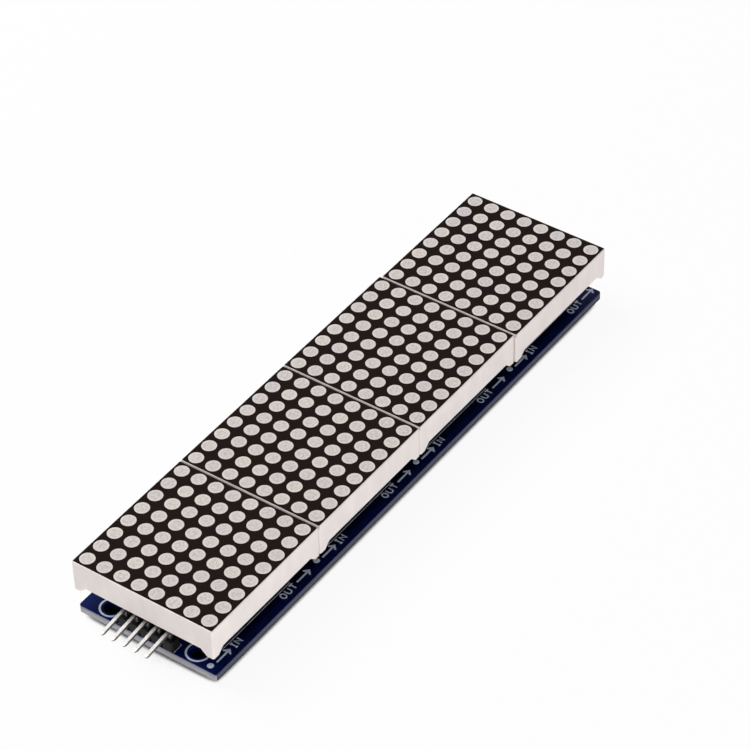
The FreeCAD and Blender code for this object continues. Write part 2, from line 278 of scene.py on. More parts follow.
def moulded_abs(colour):
    """ABS from a spark-eroded mould. To the eye: warm off-white, softly matt, with faint upright
    flow clouds about 4 mm across, shallow sink ripples about 5 mm apart along the walls, and painted
    shade, a step greyer, at the top of the joints between two displays, where the gap keeps light off."""
    material, tree, inputs, place = new_surface("abs_moulded_matt", {"IOR": 1.53})
    clouds = patches(tree, place, 4.0, stretch=(1.0, 1.0, 2.5), detail=3.0)
    joint = (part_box("display_housing_1")[1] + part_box("display_housing_2")[0]) / 2
    half = TILE_PITCH / 2 * MM
    axes = add_node(tree, "ShaderNodeSeparateXYZ", {}, {"Vector": place})
    from_joint = add_node(
        tree, "ShaderNodeMath", {"operation": "SUBTRACT"}, {"Value": axes["X"], "Value_001": joint.x},
    )["Value"]
    to_nearest = add_node(
        tree, "ShaderNodeMath", {"operation": "WRAP"},
        {"Value": from_joint, "Value_001": half, "Value_002": -half},
    )["Value"]
    at_joint = add_node(
        tree, "ShaderNodeMath", {"operation": "COMPARE"},
        {"Value": to_nearest, "Value_001": 0.0, "Value_002": 0.3 * MM},
    )["Value"]
    row_middle = (CAD_BOX[0].x + CAD_BOX[1].x) / 2
    inside_row = add_node(
        tree, "ShaderNodeMath", {"operation": "COMPARE"},
        {"Value": axes["X"], "Value_001": row_middle, "Value_002": (TILES - 1) * half},
    )["Value"]
    near_face = add_node(
        tree, "ShaderNodeMath", {"operation": "GREATER_THAN"},
        {"Value": axes["Z"], "Value_001": CAD_BOX[1].z - 0.8 * MM},
    )["Value"]
    # Painted shade: the tops of the joints between displays are coloured greyer, for the shade in the
    # gaps.
    painted_joint_shade = at_joint
    for bound in (inside_row, near_face):
        painted_joint_shade = add_node(
            tree, "ShaderNodeMath", {"operation": "MULTIPLY"}, {"Value": painted_joint_shade, "Value_001": bound},
        )["Value"]
    body = add_node(
        tree, "ShaderNodeMix", {"data_type": "RGBA"}, {
            "Factor_Float": painted_joint_shade,
            "A_Color": mottle(tree, clouds, colour, 0.04),
            "B_Color": shaded(colour, 0.72),
        },
    )
    tree.links.new(body["Result_Color"], inputs["Base Color"])
    ripple = patches(tree, place, 5.0, stretch=(1.0, 1.0, 3.0), detail=1.0)
    texture = patches(tree, place, 0.4, detail=3.0)
    height = add_node(
        tree, "ShaderNodeMath", {"operation": "MULTIPLY_ADD"},
        {"Value": texture, "Value_001": 0.12, "Value_002": ripple},
    )
    give_skin(tree, inputs, height["Value"], 0.06, 0.5, 0.05)
    return material


def cast_resin(colour, number):
    """Epoxy filled with diffuser, cast flush in the wells. To the eye: milky warm grey, mottled in
    half-millimetre flecks, a shade paler round the rim, and no two dots quite of one tint."""
    low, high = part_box("display_resin_%d" % number)
    half = DOT_PITCH / 2 * MM
    dot = ((low.x + high.x) / 2 + half, (low.y + high.y) / 2 + half, 0.0)
    material, tree, inputs, place = new_surface("epoxy_cast_milky_%d" % number, {"IOR": 1.54})
    from_dot = add_node(
        tree, "ShaderNodeVectorMath", {"operation": "SUBTRACT"},
        {"Vector": place, "Vector_001": dot},
    )["Vector"]
    wrapped = add_node(
        tree, "ShaderNodeVectorMath", {"operation": "WRAP"},
        {"Vector": from_dot, "Vector_001": (half, half, half), "Vector_002": (-half, -half, -half)},
    )["Vector"]
    cell = add_node(
        tree, "ShaderNodeVectorMath", {"operation": "SUBTRACT"},
        {"Vector": from_dot, "Vector_001": wrapped},
    )
    batch = add_node(
        tree, "ShaderNodeTexNoise", {},
        {"Vector": cell["Vector"], "Scale": 0.37 / half, "Detail": 0.0},
    )
    spread = add_node(
        tree, "ShaderNodeMapRange", {},
        {"Value": batch["Fac"], "From Min": 0.3, "From Max": 0.7},
    )["Result"]
    warm = (colour[0] * 1.04, colour[1] * 1.03, colour[2] * 0.99, 1.0)
    cool = (colour[0] * 0.96, colour[1] * 0.965, colour[2] * 0.98, 1.0)
    level = add_node(
        tree, "ShaderNodeVectorMath", {"operation": "MULTIPLY"},
        {"Vector": wrapped, "Vector_001": (1.0, 1.0, 0.0)},
    )
    radius = add_node(tree, "ShaderNodeVectorMath", {"operation": "LENGTH"}, {"Vector": level["Vector"]})
    rim = add_node(
        tree, "ShaderNodeMapRange", {"interpolation_type": "SMOOTHSTEP"}, {
            "Value": radius["Value"],
            "From Min": 0.6 * DOT_RADIUS * MM, "From Max": 0.92 * DOT_RADIUS * MM,
        },
    )
    flecks = patches(tree, place, 0.5, detail=3.0)
    body = add_node(
        tree, "ShaderNodeMix", {"data_type": "RGBA"},
        {"Factor_Float": spread, "A_Color": warm, "B_Color": cool},
    )["Result_Color"]
    grey = mottle(tree, flecks, (0.86, 0.86, 0.86, 1.0), 0.16)
    speckled = add_node(
        tree, "ShaderNodeMix", {"data_type": "RGBA", "blend_type": "MULTIPLY"},
        {"Factor_Float": 1.0, "A_Color": body, "B_Color": grey},
    )["Result_Color"]
    tint = add_node(
        tree, "ShaderNodeMix", {"data_type": "RGBA"},
        {"Factor_Float": rim["Result"], "A_Color": speckled, "B_Color": body},
    )
    tree.links.new(tint["Result_Color"], inputs["Base Color"])
    give_skin(tree, inputs, flecks, 0.01, 0.42, 0.06)
    return material


def lacquered_laminate(colours):
    """Glass-epoxy laminate under satin solder mask. To the eye: deep navy with a satin gloss on both
    faces and down the holes; towards the sockets, except near the two ends, painted shade makes it
    nearly black, where the displays keep the light off. Pale grey plies on the sawn ends, and darker
    grey on the routed sides, darkest along their lower half. Both are a little bluer at the top,
    where the mask laps over."""
    material, tree, inputs, place = new_surface("laminate_solder_masked", {"Specular IOR Level": 0.06})
    middle = (BOARD_LOW + BOARD_HIGH) / 2 * MM
    half = (BOARD_HIGH - BOARD_LOW) / 2 * MM
    from_middle = add_node(
        tree, "ShaderNodeVectorMath", {"operation": "SUBTRACT"},
        {"Vector": place, "Vector_001": middle},
    )
    distance = add_node(
        tree, "ShaderNodeVectorMath", {"operation": "ABSOLUTE"}, {"Vector": from_middle["Vector"]},
    )
    reach = add_node(tree, "ShaderNodeSeparateXYZ", {}, {"Vector": distance["Vector"]})
    at_end, at_side = [
        add_node(
            tree, "ShaderNodeMath", {"operation": "GREATER_THAN"},
            {"Value": reach[axis], "Value_001": limit - 0.2 * MM},
        )["Value"]
        for axis, limit in (("X", half.x), ("Y", half.y))
    ]
    below_skin = add_node(
        tree, "ShaderNodeMath", {"operation": "LESS_THAN"},
        {"Value": reach["Z"], "Value_001": half.z - 0.02 * MM},
    )["Value"]
    outline = add_node(
        tree, "ShaderNodeMath", {"operation": "MAXIMUM"}, {"Value": at_end, "Value_001": at_side},
    )["Value"]
    cut = add_node(
        tree, "ShaderNodeMath", {"operation": "MULTIPLY"}, {"Value": outline, "Value_001": below_skin},
    )["Value"]
    clouds = patches(tree, place, 2.5)
    plies = patches(tree, place, 0.17, stretch=(14.0, 14.0, 1.0))
    height = add_node(tree, "ShaderNodeSeparateXYZ", {}, {"Vector": place})["Z"]
    upper = add_node(
        tree, "ShaderNodeMapRange", {"interpolation_type": "SMOOTHSTEP"},
        {"Value": height, "From Min": (BOARD_LOW.z + 0.35) * MM, "From Max": (BOARD_LOW.z + 0.85) * MM},
    )["Result"]
    side = add_node(
        tree, "ShaderNodeMix", {"data_type": "RGBA"}, {
            "Factor_Float": upper,
            "A_Color": shaded(colours.routed_edge, 0.5),
            "B_Color": mottle(tree, plies, colours.routed_edge, 0.12),
        },
    )["Result_Color"]
    edge = add_node(
        tree, "ShaderNodeMix", {"data_type": "RGBA"}, {
            "Factor_Float": at_end,
            "A_Color": side,
            "B_Color": mottle(tree, plies, colours.sawn_edge, 0.1),
        },
    )
    smear = add_node(
        tree, "ShaderNodeMapRange", {"interpolation_type": "SMOOTHSTEP"}, {
            "Value": height, "From Min": (BOARD_HIGH.z - 0.9) * MM, "From Max": BOARD_HIGH.z * MM,
            "To Max": 0.42,
        },
    )["Result"]
    smeared = add_node(
        tree, "ShaderNodeMix", {"data_type": "RGBA"},
        {"Factor_Float": smear, "A_Color": edge["Result_Color"], "B_Color": colours.lacquer},
    )["Result_Color"]
    # Painted shade: towards the sockets, away from the two ends, the lacquer's colour falls to a tenth,
    # for the shade under the displays.
    inward, from_ends = [
        add_node(
            tree, "ShaderNodeMapRange", {"interpolation_type": "SMOOTHSTEP"}, {
                "Value": reach[axis], "From Min": limit - full * MM, "From Max": limit - none * MM,
                "To Min": depth, "To Max": 0.0,
            },
        )["Result"]
        for axis, limit, full, none, depth in (
            ("Y", half.y, 2.4, 0.6, 0.85), ("X", half.x, 12.0, 3.0, 1.0),
        )
    ]
    painted_shade = add_node(
        tree, "ShaderNodeMath", {"operation": "MULTIPLY"}, {"Value": inward, "Value_001": from_ends},
    )["Value"]
    mask = add_node(
        tree, "ShaderNodeMix", {"data_type": "RGBA"}, {
            "Factor_Float": painted_shade,
            "A_Color": mottle(tree, clouds, colours.lacquer, 0.15),
            "B_Color": shaded(colours.lacquer, 0.1),
        },
    )["Result_Color"]
    tint = add_node(
        tree, "ShaderNodeMix", {"data_type": "RGBA"},
        {"Factor_Float": cut, "A_Color": mask, "B_Color": smeared},
    )
    tree.links.new(tint["Result_Color"], inputs["Base Color"])
    gloss = add_node(tree, "ShaderNodeMapRange", {}, {"Value": cut, "To Min": 0.35, "To Max": 0.75})
    tree.links.new(gloss["Result"], inputs["Roughness"])
    bump = add_node(tree, "ShaderNodeBump", {}, {"Height": clouds, "Distance": 0.008 * MM})
    tree.links.new(bump["Normal"], inputs["Normal"])
    return material


def stamped_pin(colour):
    """Tin-plated brass, stamped square from strip. To the eye: pale grey, softly streaked rolled
    faces, dull enough to stand out against white, and darker sides across the row, partly the
    duller faces left by shearing and partly painted shade."""
    material, tree, inputs, place = new_surface("brass_stamped_tinned", {"Metallic": 1.0})
    streaks = patches(tree, place, 0.2, stretch=(6.0, 1.0, 1.0), detail=3.0)
    facing = add_node(tree, "ShaderNodeTexCoord", {}, {})["Normal"]
    across = add_node(tree, "ShaderNodeSeparateXYZ", {}, {"Vector": facing})["Y"]
    sideways = add_node(tree, "ShaderNodeMath", {"operation": "ABSOLUTE"}, {"Value": across})["Value"]
    # Sides facing across the row are coloured darker: partly duller cut faces, partly painted shade.
    sheared_and_shaded_sides = add_node(
        tree, "ShaderNodeMapRange", {},
        {"Value": sideways, "From Min": 0.5, "From Max": 0.8},
    )["Result"]
    tint = add_node(
        tree, "ShaderNodeMix", {"data_type": "RGBA"}, {
            "Factor_Float": sheared_and_shaded_sides,
            "A_Color": mottle(tree, streaks, shaded(colour, 0.52), 0.12),
            "B_Color": mottle(tree, streaks, shaded(colour, 0.26), 0.2),
        },
    )
    tree.links.new(tint["Result_Color"], inputs["Base Color"])
    give_skin(tree, inputs, streaks, 0.006, 0.45, 0.08)
    return material


def capped_block(name, node, body, cap):
    """A small fired part with tinned ends. To the eye: a satin block between two silvery caps."""
    low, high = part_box(node)
    material, tree, inputs, place = new_surface(name, {"IOR": 1.6})
    along = add_node(tree, "ShaderNodeSeparateXYZ", {}, {"Vector": place})["X"]
    inner = add_node(
        tree, "ShaderNodeMath", {"operation": "COMPARE"},
        {"Value": along, "Value_001": (low.x + high.x) / 2, "Value_002": (high.x - low.x) * 0.28},
    )["Value"]
    grain = patches(tree, place, 0.3)
    tint = add_node(
        tree, "ShaderNodeMix", {"data_type": "RGBA"}, {
            "Factor_Float": inner,
            "A_Color": mottle(tree, grain, cap, 0.08),
            "B_Color": mottle(tree, grain, body, 0.12),
        },
    )
    tree.links.new(tint["Result_Color"], inputs["Base Color"])
    metal = add_node(tree, "ShaderNodeMapRange", {}, {"Value": inner, "To Min": 1.0, "To Max": 0.0})
    tree.links.new(metal["Result"], inputs["Metallic"])
    give_skin(tree, inputs, grain, 0.008, 0.4, 0.08)
    return material


def dress(names, material):
    """Gives CAD nodes their finish in place of the plain one."""
    for name in names:
        for slot in frame["nodes"][name].material_slots:
            slot.material = material


def on_each_tile(*names):
    return ["%s_%d" % (name, index + 1) for name in names for index in range(TILES)]


# Shapes

def keep_mesh(name, shape):
    """Turns a bmesh into a mesh whose faces point outwards."""
    bmesh.ops.recalc_face_normals(shape, faces=shape.faces)
    mesh = bpy.data.meshes.new(name)
    shape.to_mesh(mesh)
    shape.free()
    return mesh


def turned(name, profile, segments):
    """A closed mesh turned about Z from a closed outline of radius and height in millimetres."""
    shape = bmesh.new()
    rings = []
    for radius, height in profile:
        count = segments if radius else 1
        turns = [2 * math.pi * step / count for step in range(count)]
        places = [(radius * math.cos(turn) * MM, radius * math.sin(turn) * MM) for turn in turns]
        rings.append([shape.verts.new((*place, height * MM)) for place in places])
    for ring, after in zip(rings, rings[1:] + rings[:1]):
        if len(ring) + len(after) == 2:
            continue
        for step in range(segments):
            corners = [ring[step % len(ring)], ring[(step + 1) % len(ring)]]
            corners += [after[(step + 1) % len(after)], after[step % len(after)]]
            shape.faces.new(list(dict.fromkeys(corners)))
    return keep_mesh(name, shape)


def lines(name, strokes):
    """Lines in millimetres from a tile's first corner. A line that ends where it starts is closed."""
    points = []
    edges = []
    for stroke in strokes:
        start = len(points)
        closed = stroke[0] == stroke[-1]
        kept = stroke[:-1] if closed else stroke
        points += [(x * MM, y * MM, 0.0) for x, y in kept]
        edges += [(start + step, start + step + 1) for step in range(len(kept) - 1)]
        if closed:
            edges.append((start + len(kept) - 1, start))
    mesh = bpy.data.meshes.new(name)
    mesh.from_pydata(points, edges, [])
    return mesh


def arc(x, y, width, height, start, end, steps):
    """Points of an elliptical arc, between two angles in degrees."""
    turns = [math.radians(start + (end - start) * step / steps) for step in range(steps + 1)]
    return [(x + width / 2 * math.cos(turn), y + height / 2 * math.sin(turn)) for turn in turns]


def oval(x, y, width, height, steps):
    points = arc(x, y, width, height, 0, 360, steps)
    return points[:-1] + points[:1]


def rectangle(low, high, margin):
    left, front = low.x - margin, low.y - margin
    right, back = high.x + margin, high.y + margin
    return [(left, front), (right, front), (right, back), (left, back), (left, front)]


def new_tree(name, sockets):
    """A geometry tree with named inputs; returns it and what its input node gives."""
    tree = bpy.data.node_groups.new(name, "GeometryNodeTree")
    tree.interface.new_socket("Result", in_out="OUTPUT", socket_type="NodeSocketGeometry")
    tree.interface.new_socket("Shape", in_out="INPUT", socket_type="NodeSocketGeometry")
    for label, kind in sockets:
        tree.interface.new_socket(label, in_out="INPUT", socket_type="NodeSocket" + kind)
    tree.interface.new_socket("Material", in_out="INPUT", socket_type="NodeSocketMaterial")
    return tree, tree.nodes.new("NodeGroupInput").outputs


def close_tree(tree, instances, given, smooth):
    """Ends a tree with its copies made real, shaded and given their material."""
    real = add_node(tree, "GeometryNodeRealizeInstances", {}, {"Geometry": instances})
    soft = add_node(
        tree, "GeometryNodeSetShadeSmooth", {},
        {"Geometry": real["Geometry"], "Shade Smooth": smooth},
    )
    painted = add_node(
        tree, "GeometryNodeSetMaterial", {},
        {"Geometry": soft["Geometry"], "Material": given["Material"]},
    )
    result = tree.nodes.new("NodeGroupOutput")
    tree.links.new(painted["Geometry"], result.inputs["Result"])


def tile_points(tree, given, first):
    """A point on every tile of the board, from the place of the first one."""
    step = add_node(tree, "ShaderNodeCombineXYZ", {}, {"X": given["Tile Pitch"]})
    return add_node(
        tree, "GeometryNodeMeshLine", {},
        {"Count": given["Tiles"], "Start Location": given[first], "Offset": step["Vector"]},
    )["Mesh"]


def repeat_tree():
    """Repeats a shape on a grid of places, and the grid on every tile of the board."""
    tree, given = new_tree("repeat_on_tiles", [
        ("Columns", "Int"), ("Rows", "Int"), ("Column Pitch", "Float"), ("Row Pitch", "Float"),
        ("Tiles", "Int"), ("Tile Pitch", "Float"), ("Grid Middle", "Vector"),
        ("Narrowest", "Float"), ("Seed", "Int"),
    ])
    reach = []
    for count, pitch in (("Columns", "Column Pitch"), ("Rows", "Row Pitch")):
        gaps = add_node(
            tree, "ShaderNodeMath", {"operation": "SUBTRACT"},
            {"Value": given[count], "Value_001": 1.0},
        )
        across = add_node(
            tree, "ShaderNodeMath", {"operation": "MULTIPLY"},
            {"Value": gaps["Value"], "Value_001": given[pitch]},
        )
        reach.append(across["Value"])
    grid = add_node(
        tree, "GeometryNodeMeshGrid", {}, {
            "Size X": reach[0], "Size Y": reach[1],
            "Vertices X": given["Columns"], "Vertices Y": given["Rows"],
        },
    )
    grids = add_node(
        tree, "GeometryNodeInstanceOnPoints", {},
        {"Points": tile_points(tree, given, "Grid Middle"), "Instance": grid["Mesh"]},
    )
    places = add_node(tree, "GeometryNodeRealizeInstances", {}, {"Geometry": grids["Instances"]})
    width = add_node(
        tree, "FunctionNodeRandomValue", {"data_type": "FLOAT"},
        {"Min_001": given["Narrowest"], "Max_001": 1.0, "Seed": given["Seed"]},
    )["Value_001"]
    size = add_node(tree, "ShaderNodeCombineXYZ", {}, {"X": width, "Y": width, "Z": 1.0})
    copies = add_node(
        tree, "GeometryNodeInstanceOnPoints", {},
        {"Points": places["Geometry"], "Instance": given["Shape"], "Scale": size["Vector"]},
    )
    close_tree(tree, copies["Instances"], given, True)
    return tree


def ink_tree():
    """Lays a low rounded bead of ink along lines, on every tile of the board."""
    tree, given = new_tree("ink_on_tiles", [
        ("Line Width", "Float"), ("Line Height", "Float"),
        ("Tiles", "Int"), ("Tile Pitch", "Float"), ("First Corner", "Vector"),
    ])
    curve = add_node(tree, "GeometryNodeMeshToCurve", {}, {"Mesh": given["Shape"]})
    upright = add_node(tree, "GeometryNodeSetCurveNormal", {"mode": "Z_UP"}, {"Curve": curve["Curve"]})
    circle = add_node(tree, "GeometryNodeCurvePrimitiveCircle", {}, {"Resolution": 8, "Radius": 0.5})
    section = add_node(
        tree, "ShaderNodeCombineXYZ", {},
        {"X": given["Line Width"], "Y": given["Line Height"], "Z": 1.0},
    )
    flat = add_node(
        tree, "GeometryNodeTransform", {},
        {"Geometry": circle["Curve"], "Scale": section["Vector"]},
    )
    bead = add_node(
        tree, "GeometryNodeCurveToMesh", {},
        {"Curve": upright["Curve"], "Profile Curve": flat["Geometry"], "Fill Caps": True},
    )
    copies = add_node(
        tree, "GeometryNodeInstanceOnPoints", {},
        {"Points": tile_points(tree, given, "First Corner"), "Instance": bead["Mesh"]},
    )
    close_tree(tree, copies["Instances"], given, False)
    return tree


def grow(name, carrier, tree, inputs):
    """Runs a tree on a carrier mesh and keeps the result as a plain mesh that rides with the row."""
    piece = bpy.data.objects.new(name, carrier)
    bpy.context.scene.collection.objects.link(piece)
    modifier = piece.modifiers.new(tree.name, "NODES")
    modifier.node_group = tree
    for item in tree.interface.items_tree:
        if item.in_out == "INPUT" and item.name in inputs:
            modifier[item.identifier] = inputs[item.name]
    graph = bpy.context.evaluated_depsgraph_get()
    shape = bpy.data.meshes.new_from_object(piece.evaluated_get(graph))
    piece.modifiers.remove(modifier)
    piece.data = shape
    shape.name = name
    if not shape.polygons:
        raise RuntimeError("the tree %s made nothing for %s" % (tree.name, name))
    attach(piece, "root")
    return piece


def board_place(x, y, z):
    """A place in metres, from millimetres along, across and above the bottom of the board."""
    return (BOARD_LOW + Vector((x, y, z))) * MM


def rounded_copy(name, node, radius, material):
    """A piece that stands for a CAD node, with its edges rounded by a radius in millimetres."""
    shape = bmesh.new()
    shape.from_mesh(frame["nodes"][node].data)
    bmesh.ops.remove_doubles(shape, verts=shape.verts, dist=0.001 * MM)
    bmesh.ops.dissolve_limit(shape, angle_limit=math.radians(1), verts=shape.verts, edges=shape.edges)
    inner = [edge for edge in shape.edges if edge.is_manifold]
    corners = [edge for edge in inner if edge.calc_face_angle() > math.radians(30)]
    bmesh.ops.bevel(
        shape, geom=corners, offset=radius * MM, segments=2, profile=0.5,
        affect="EDGES", clamp_overlap=True,
    )
    mesh = keep_mesh(name, shape)
    mesh.materials.append(material)
    piece = bpy.data.objects.new(name, mesh)
    bpy.context.scene.collection.objects.link(piece)
    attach(piece, "root")
    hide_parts(node)
    return piece


def solder_outline(tip_radius, base_radius, height):
    """The hollow flank of a solder joint, from just short of the lead's tip up to the board."""
    inward, upward = JOINT_BEVEL
    outline = [(0.0, JOINT_START), (tip_radius - inward, JOINT_START)]
    foot = JOINT_START + upward
    for step in range(6):
        rise = step / 5
        radius = tip_radius + (base_radius - tip_radius) * rise ** JOINT_HOLLOW
        outline.append((radius, foot + (height - foot) * rise))
    return outline + [(0.0, height)]


# Operators

class ROW_OT_displays(bpy.types.Operator):
    """Finish the displays: mouldings, face print, dots and inner boards"""

    bl_idname = "display_row.displays"
    bl_label = "Displays"

    def execute(self, context):
        colours = context.scene.row_colours
        dress(on_each_tile("display_housing"), moulded_abs(colours.housing))
        # Screen ink with a matting agent. To the eye: warm black with hardly any shine, and a trace
        # of mesh.
        ink = grained_surface(
            "ink_screened_matt", {"Roughness": 0.7, "Specular IOR Level": 0.05},
            colours.face_ink, 0.35, 0.5, 0.01, 0.08,
        )
        dress(on_each_tile("face_print"), ink)
        for index in range(TILES):
            dress(["display_resin_%d" % (index + 1)], cast_resin(colours.dot, index + 1))
        # Laminate under white lacquer. To the eye: satin and a little cloudy.
        inner = grained_surface(
            "laminate_white_lacquered", {"Roughness": 0.4, "IOR": 1.5},
            colours.inner_board, 0.05, 1.5, 0.01, 0.05,
        )
        dress(on_each_tile("display_led_board"), inner)
        return {"FINISHED"}


class ROW_OT_sockets(bpy.types.Operator):
    """Finish the socket strips, their contacts and the display pins in them"""

    bl_idname = "display_row.sockets"
    bl_label = "Sockets"

    def execute(self, context):
        colours = context.scene.row_colours
        # Glass-filled PBT, moulded. To the eye: charcoal and satin, with a fibrous grain.
        plastic = grained_surface(
            "pbt_glass_filled_moulded", {"Roughness": 0.5, "Specular IOR Level": 0.2},
            colours.black_plastic, 0.3, 0.3, 0.012, 0.08,
        )
        dress(on_each_tile("socket_front", "socket_rear"), plastic)
        # Phosphor bronze, stamped and tinned. To the eye: warm silver with fine marks down the strip.
        bronze = grained_surface(
            "phosphor_bronze_stamped", {"Roughness": 0.3, "Metallic": 1.0},
            colours.bronze, 0.12, 0.15, 0.005, 0.08, stretch=(1.0, 1.0, 8.0),
        )
        dress(on_each_tile("socket_contacts"), bronze)
        # Tin-plated brass, drawn square. To the eye: bright, with faint lines down each pin.
        tin = grained_surface(
            "brass_drawn_tinned", {"Roughness": 0.25, "Metallic": 1.0},
            colours.tin, 0.1, 0.15, 0.005, 0.07, stretch=(1.0, 1.0, 8.0),
        )
        dress(on_each_tile("display_pins"), tin)
        return {"FINISHED"}


class ROW_OT_board(bpy.types.Operator):
    """Finish the circuit board and plate its header holes"""

    bl_idname = "display_row.board"
    bl_label = "Circuit board"

    def execute(self, context):
        colours = context.scene.row_colours
        sizes = context.scene.row_marks
        dress(["circuit_board"], lacquered_laminate(colours))
        # Tin reflowed over copper. To the eye: pale bright rings with a slight orange-peel.
        plate = grained_surface(
            "tin_reflowed_on_copper", {"Roughness": 0.3, "Metallic": 1.0},
            colours.solder, 0.08, 0.3, 0.006, 0.08,
        )
        skin = sizes.plating / MM
        outer = sizes.plated_ring / 2 / MM
        bore = HEADER_HOLE / 2
        top = BOARD_THICKNESS
        outline = [
            (bore - skin, -skin), (outer, -skin), (outer, 0.0), (bore, 0.0),
            (bore, top), (outer, top), (outer, top + skin), (bore - skin, top + skin),
        ]
        inset = (HEADER_LOW.x + HEADER_HIGH.x) / 2
        rings = grow("plated_rings", turned("plated_ring", outline, 16), repeat_tree(), {
            "Columns": 2, "Rows": HEADER_PINS,
            "Column Pitch": 2 * (TILE_MIDDLE.x - inset) * MM, "Row Pitch": PIN_PITCH * MM,
            "Tiles": TILES, "Tile Pitch": TILE_PITCH * MM,
            "Grid Middle": board_place(TILE_MIDDLE.x, TILE_MIDDLE.y, 0.0),
            "Narrowest": 1.0, "Seed": 1, "Material": plate,
        })
        return {"FINISHED"}


class ROW_OT_legend(bpy.types.Operator):
    """Print the arrows, words, rings, outlines and spots on every tile of the board"""

    bl_idname = "display_row.legend"
    bl_label = "Printed marks"

    def execute(self, context):
        sizes = context.scene.row_marks
        # Epoxy legend ink, screened over the lacquer. To the eye: cool white, a little thin in places.
        ink = grained_surface(
            "ink_epoxy_screened", {"Roughness": 0.55, "IOR": 1.5},
            context.scene.row_colours.legend, 0.08, 0.3, 0.004, 0.08,
        )
        tiled = {"Tiles": TILES, "Tile Pitch": TILE_PITCH * MM, "Material": ink}
        lined = {
            **tiled, "First Corner": board_place(0.0, 0.0, BOARD_THICKNESS),
            "Line Height": 2 * sizes.ink_height,
        }
        tree = ink_tree()
        for name, strokes, width in (
            ("board_marks", self.arrows(sizes) + self.rings(sizes), sizes.line_width),
            ("board_words", self.words(sizes), sizes.word_width),
            ("board_outlines", self.outlines(), sizes.outline_width),
        ):
            grow(name, lines(name + "_lines", strokes), tree, {**lined, "Line Width": width})
        rise = sizes.ink_height / MM
        radius = sizes.first_mark / 2 / MM
        spot = [
            (0.0, -rise), (radius, -rise), (radius, 0.3 * rise),
            (0.9 * radius, 0.8 * rise), (0.0, rise),
        ]
        grow("board_spots", turned("board_spot", spot, 24), repeat_tree(), {
            **tiled, "Columns": 1, "Rows": 1, "Narrowest": 1.0, "Seed": 1,
            "Grid Middle": board_place(*SPOT_PLACE, BOARD_THICKNESS),
        })
        return {"FINISHED"}

    def arrows(self, sizes):
        """An arrow at each end of the tile, both pointing along the row. A second, smaller pair of
        arms thickens each head."""
        length, head = sizes.arrow_length / MM, sizes.arrow_head / MM
        strokes = []
        for tail, y in ARROW_TAILS:
            point = tail + length
            strokes.append([(tail, y), (point, y)])
            for front, back, arm in ((0.0, 1.0, 0.85), (0.25, 0.8, 0.5)):
                tip, end = point - front * head, point - back * head
                strokes.append([(end, y - arm * head), (tip, y), (end, y + arm * head)])
        return strokes

    def words(self, sizes):
        """IN and OUT in plain strokes."""
        tall, wide, gap = sizes.letter_height / MM, sizes.letter_width / MM, sizes.letter_gap / MM
        foot = WORD_FOOT
        top = foot + tall
        x = IN_LEFT
        serif = 0.6
        strokes = [[(x, foot), (x + serif, foot)], [(x, top), (x + serif, top)]]
        strokes.append([(x + serif / 2, foot), (x + serif / 2, top)])
        x += serif + gap
        strokes.append([(x, foot), (x, top), (x + wide, foot), (x + wide, top)])
        x = OUT_LEFT
        strokes.append(oval(x + wide / 2, foot + tall / 2, wide, tall, 16))
        x += wide + gap
        cup = arc(x + wide / 2, foot + wide / 2, wide, wide, 180, 360, 8)
        strokes.append([(x, top)] + cup + [(x + wide, top)])
        x += wide + gap
        strokes += [[(x, top), (x + wide, top)], [(x + wide / 2, foot), (x + wide / 2, top)]]
        return strokes

    def rings(self, sizes):
        """A ring round each screw hole."""
        ring = sizes.ring_diameter / MM
        along, across = SCREWS["dims"]["spacing_x_mm"] / 2, SCREWS["dims"]["spacing_y_mm"] / 2
        strokes = []
        for x in (TILE_MIDDLE.x - along, TILE_MIDDLE.x + along):
            for y in (TILE_MIDDLE.y - across, TILE_MIDDLE.y + across):
                strokes.append(oval(x, y, ring, ring, 40))
        return strokes

    def outlines(self):
        """Outlines round both sockets, and round both rows of header holes up to the tile's ends."""
        front, back = HEADER_LOW.y - OUTLINE_MARGIN, HEADER_HIGH.y + OUTLINE_MARGIN
        left, right = OUTLINE_START, HEADER_HIGH.x + OUTLINE_MARGIN
        strokes = [rectangle(SOCKET_LOW, SOCKET_HIGH, OUTLINE_MARGIN)]
        strokes.append([(left, front), (right, front), (right, back), (left, back)])
        strokes.append([(x, 2 * TILE_MIDDLE.y - y) for x, y in strokes[0]])
        strokes.append([(2 * TILE_MIDDLE.x - x, y) for x, y in strokes[1]])
        return strokes


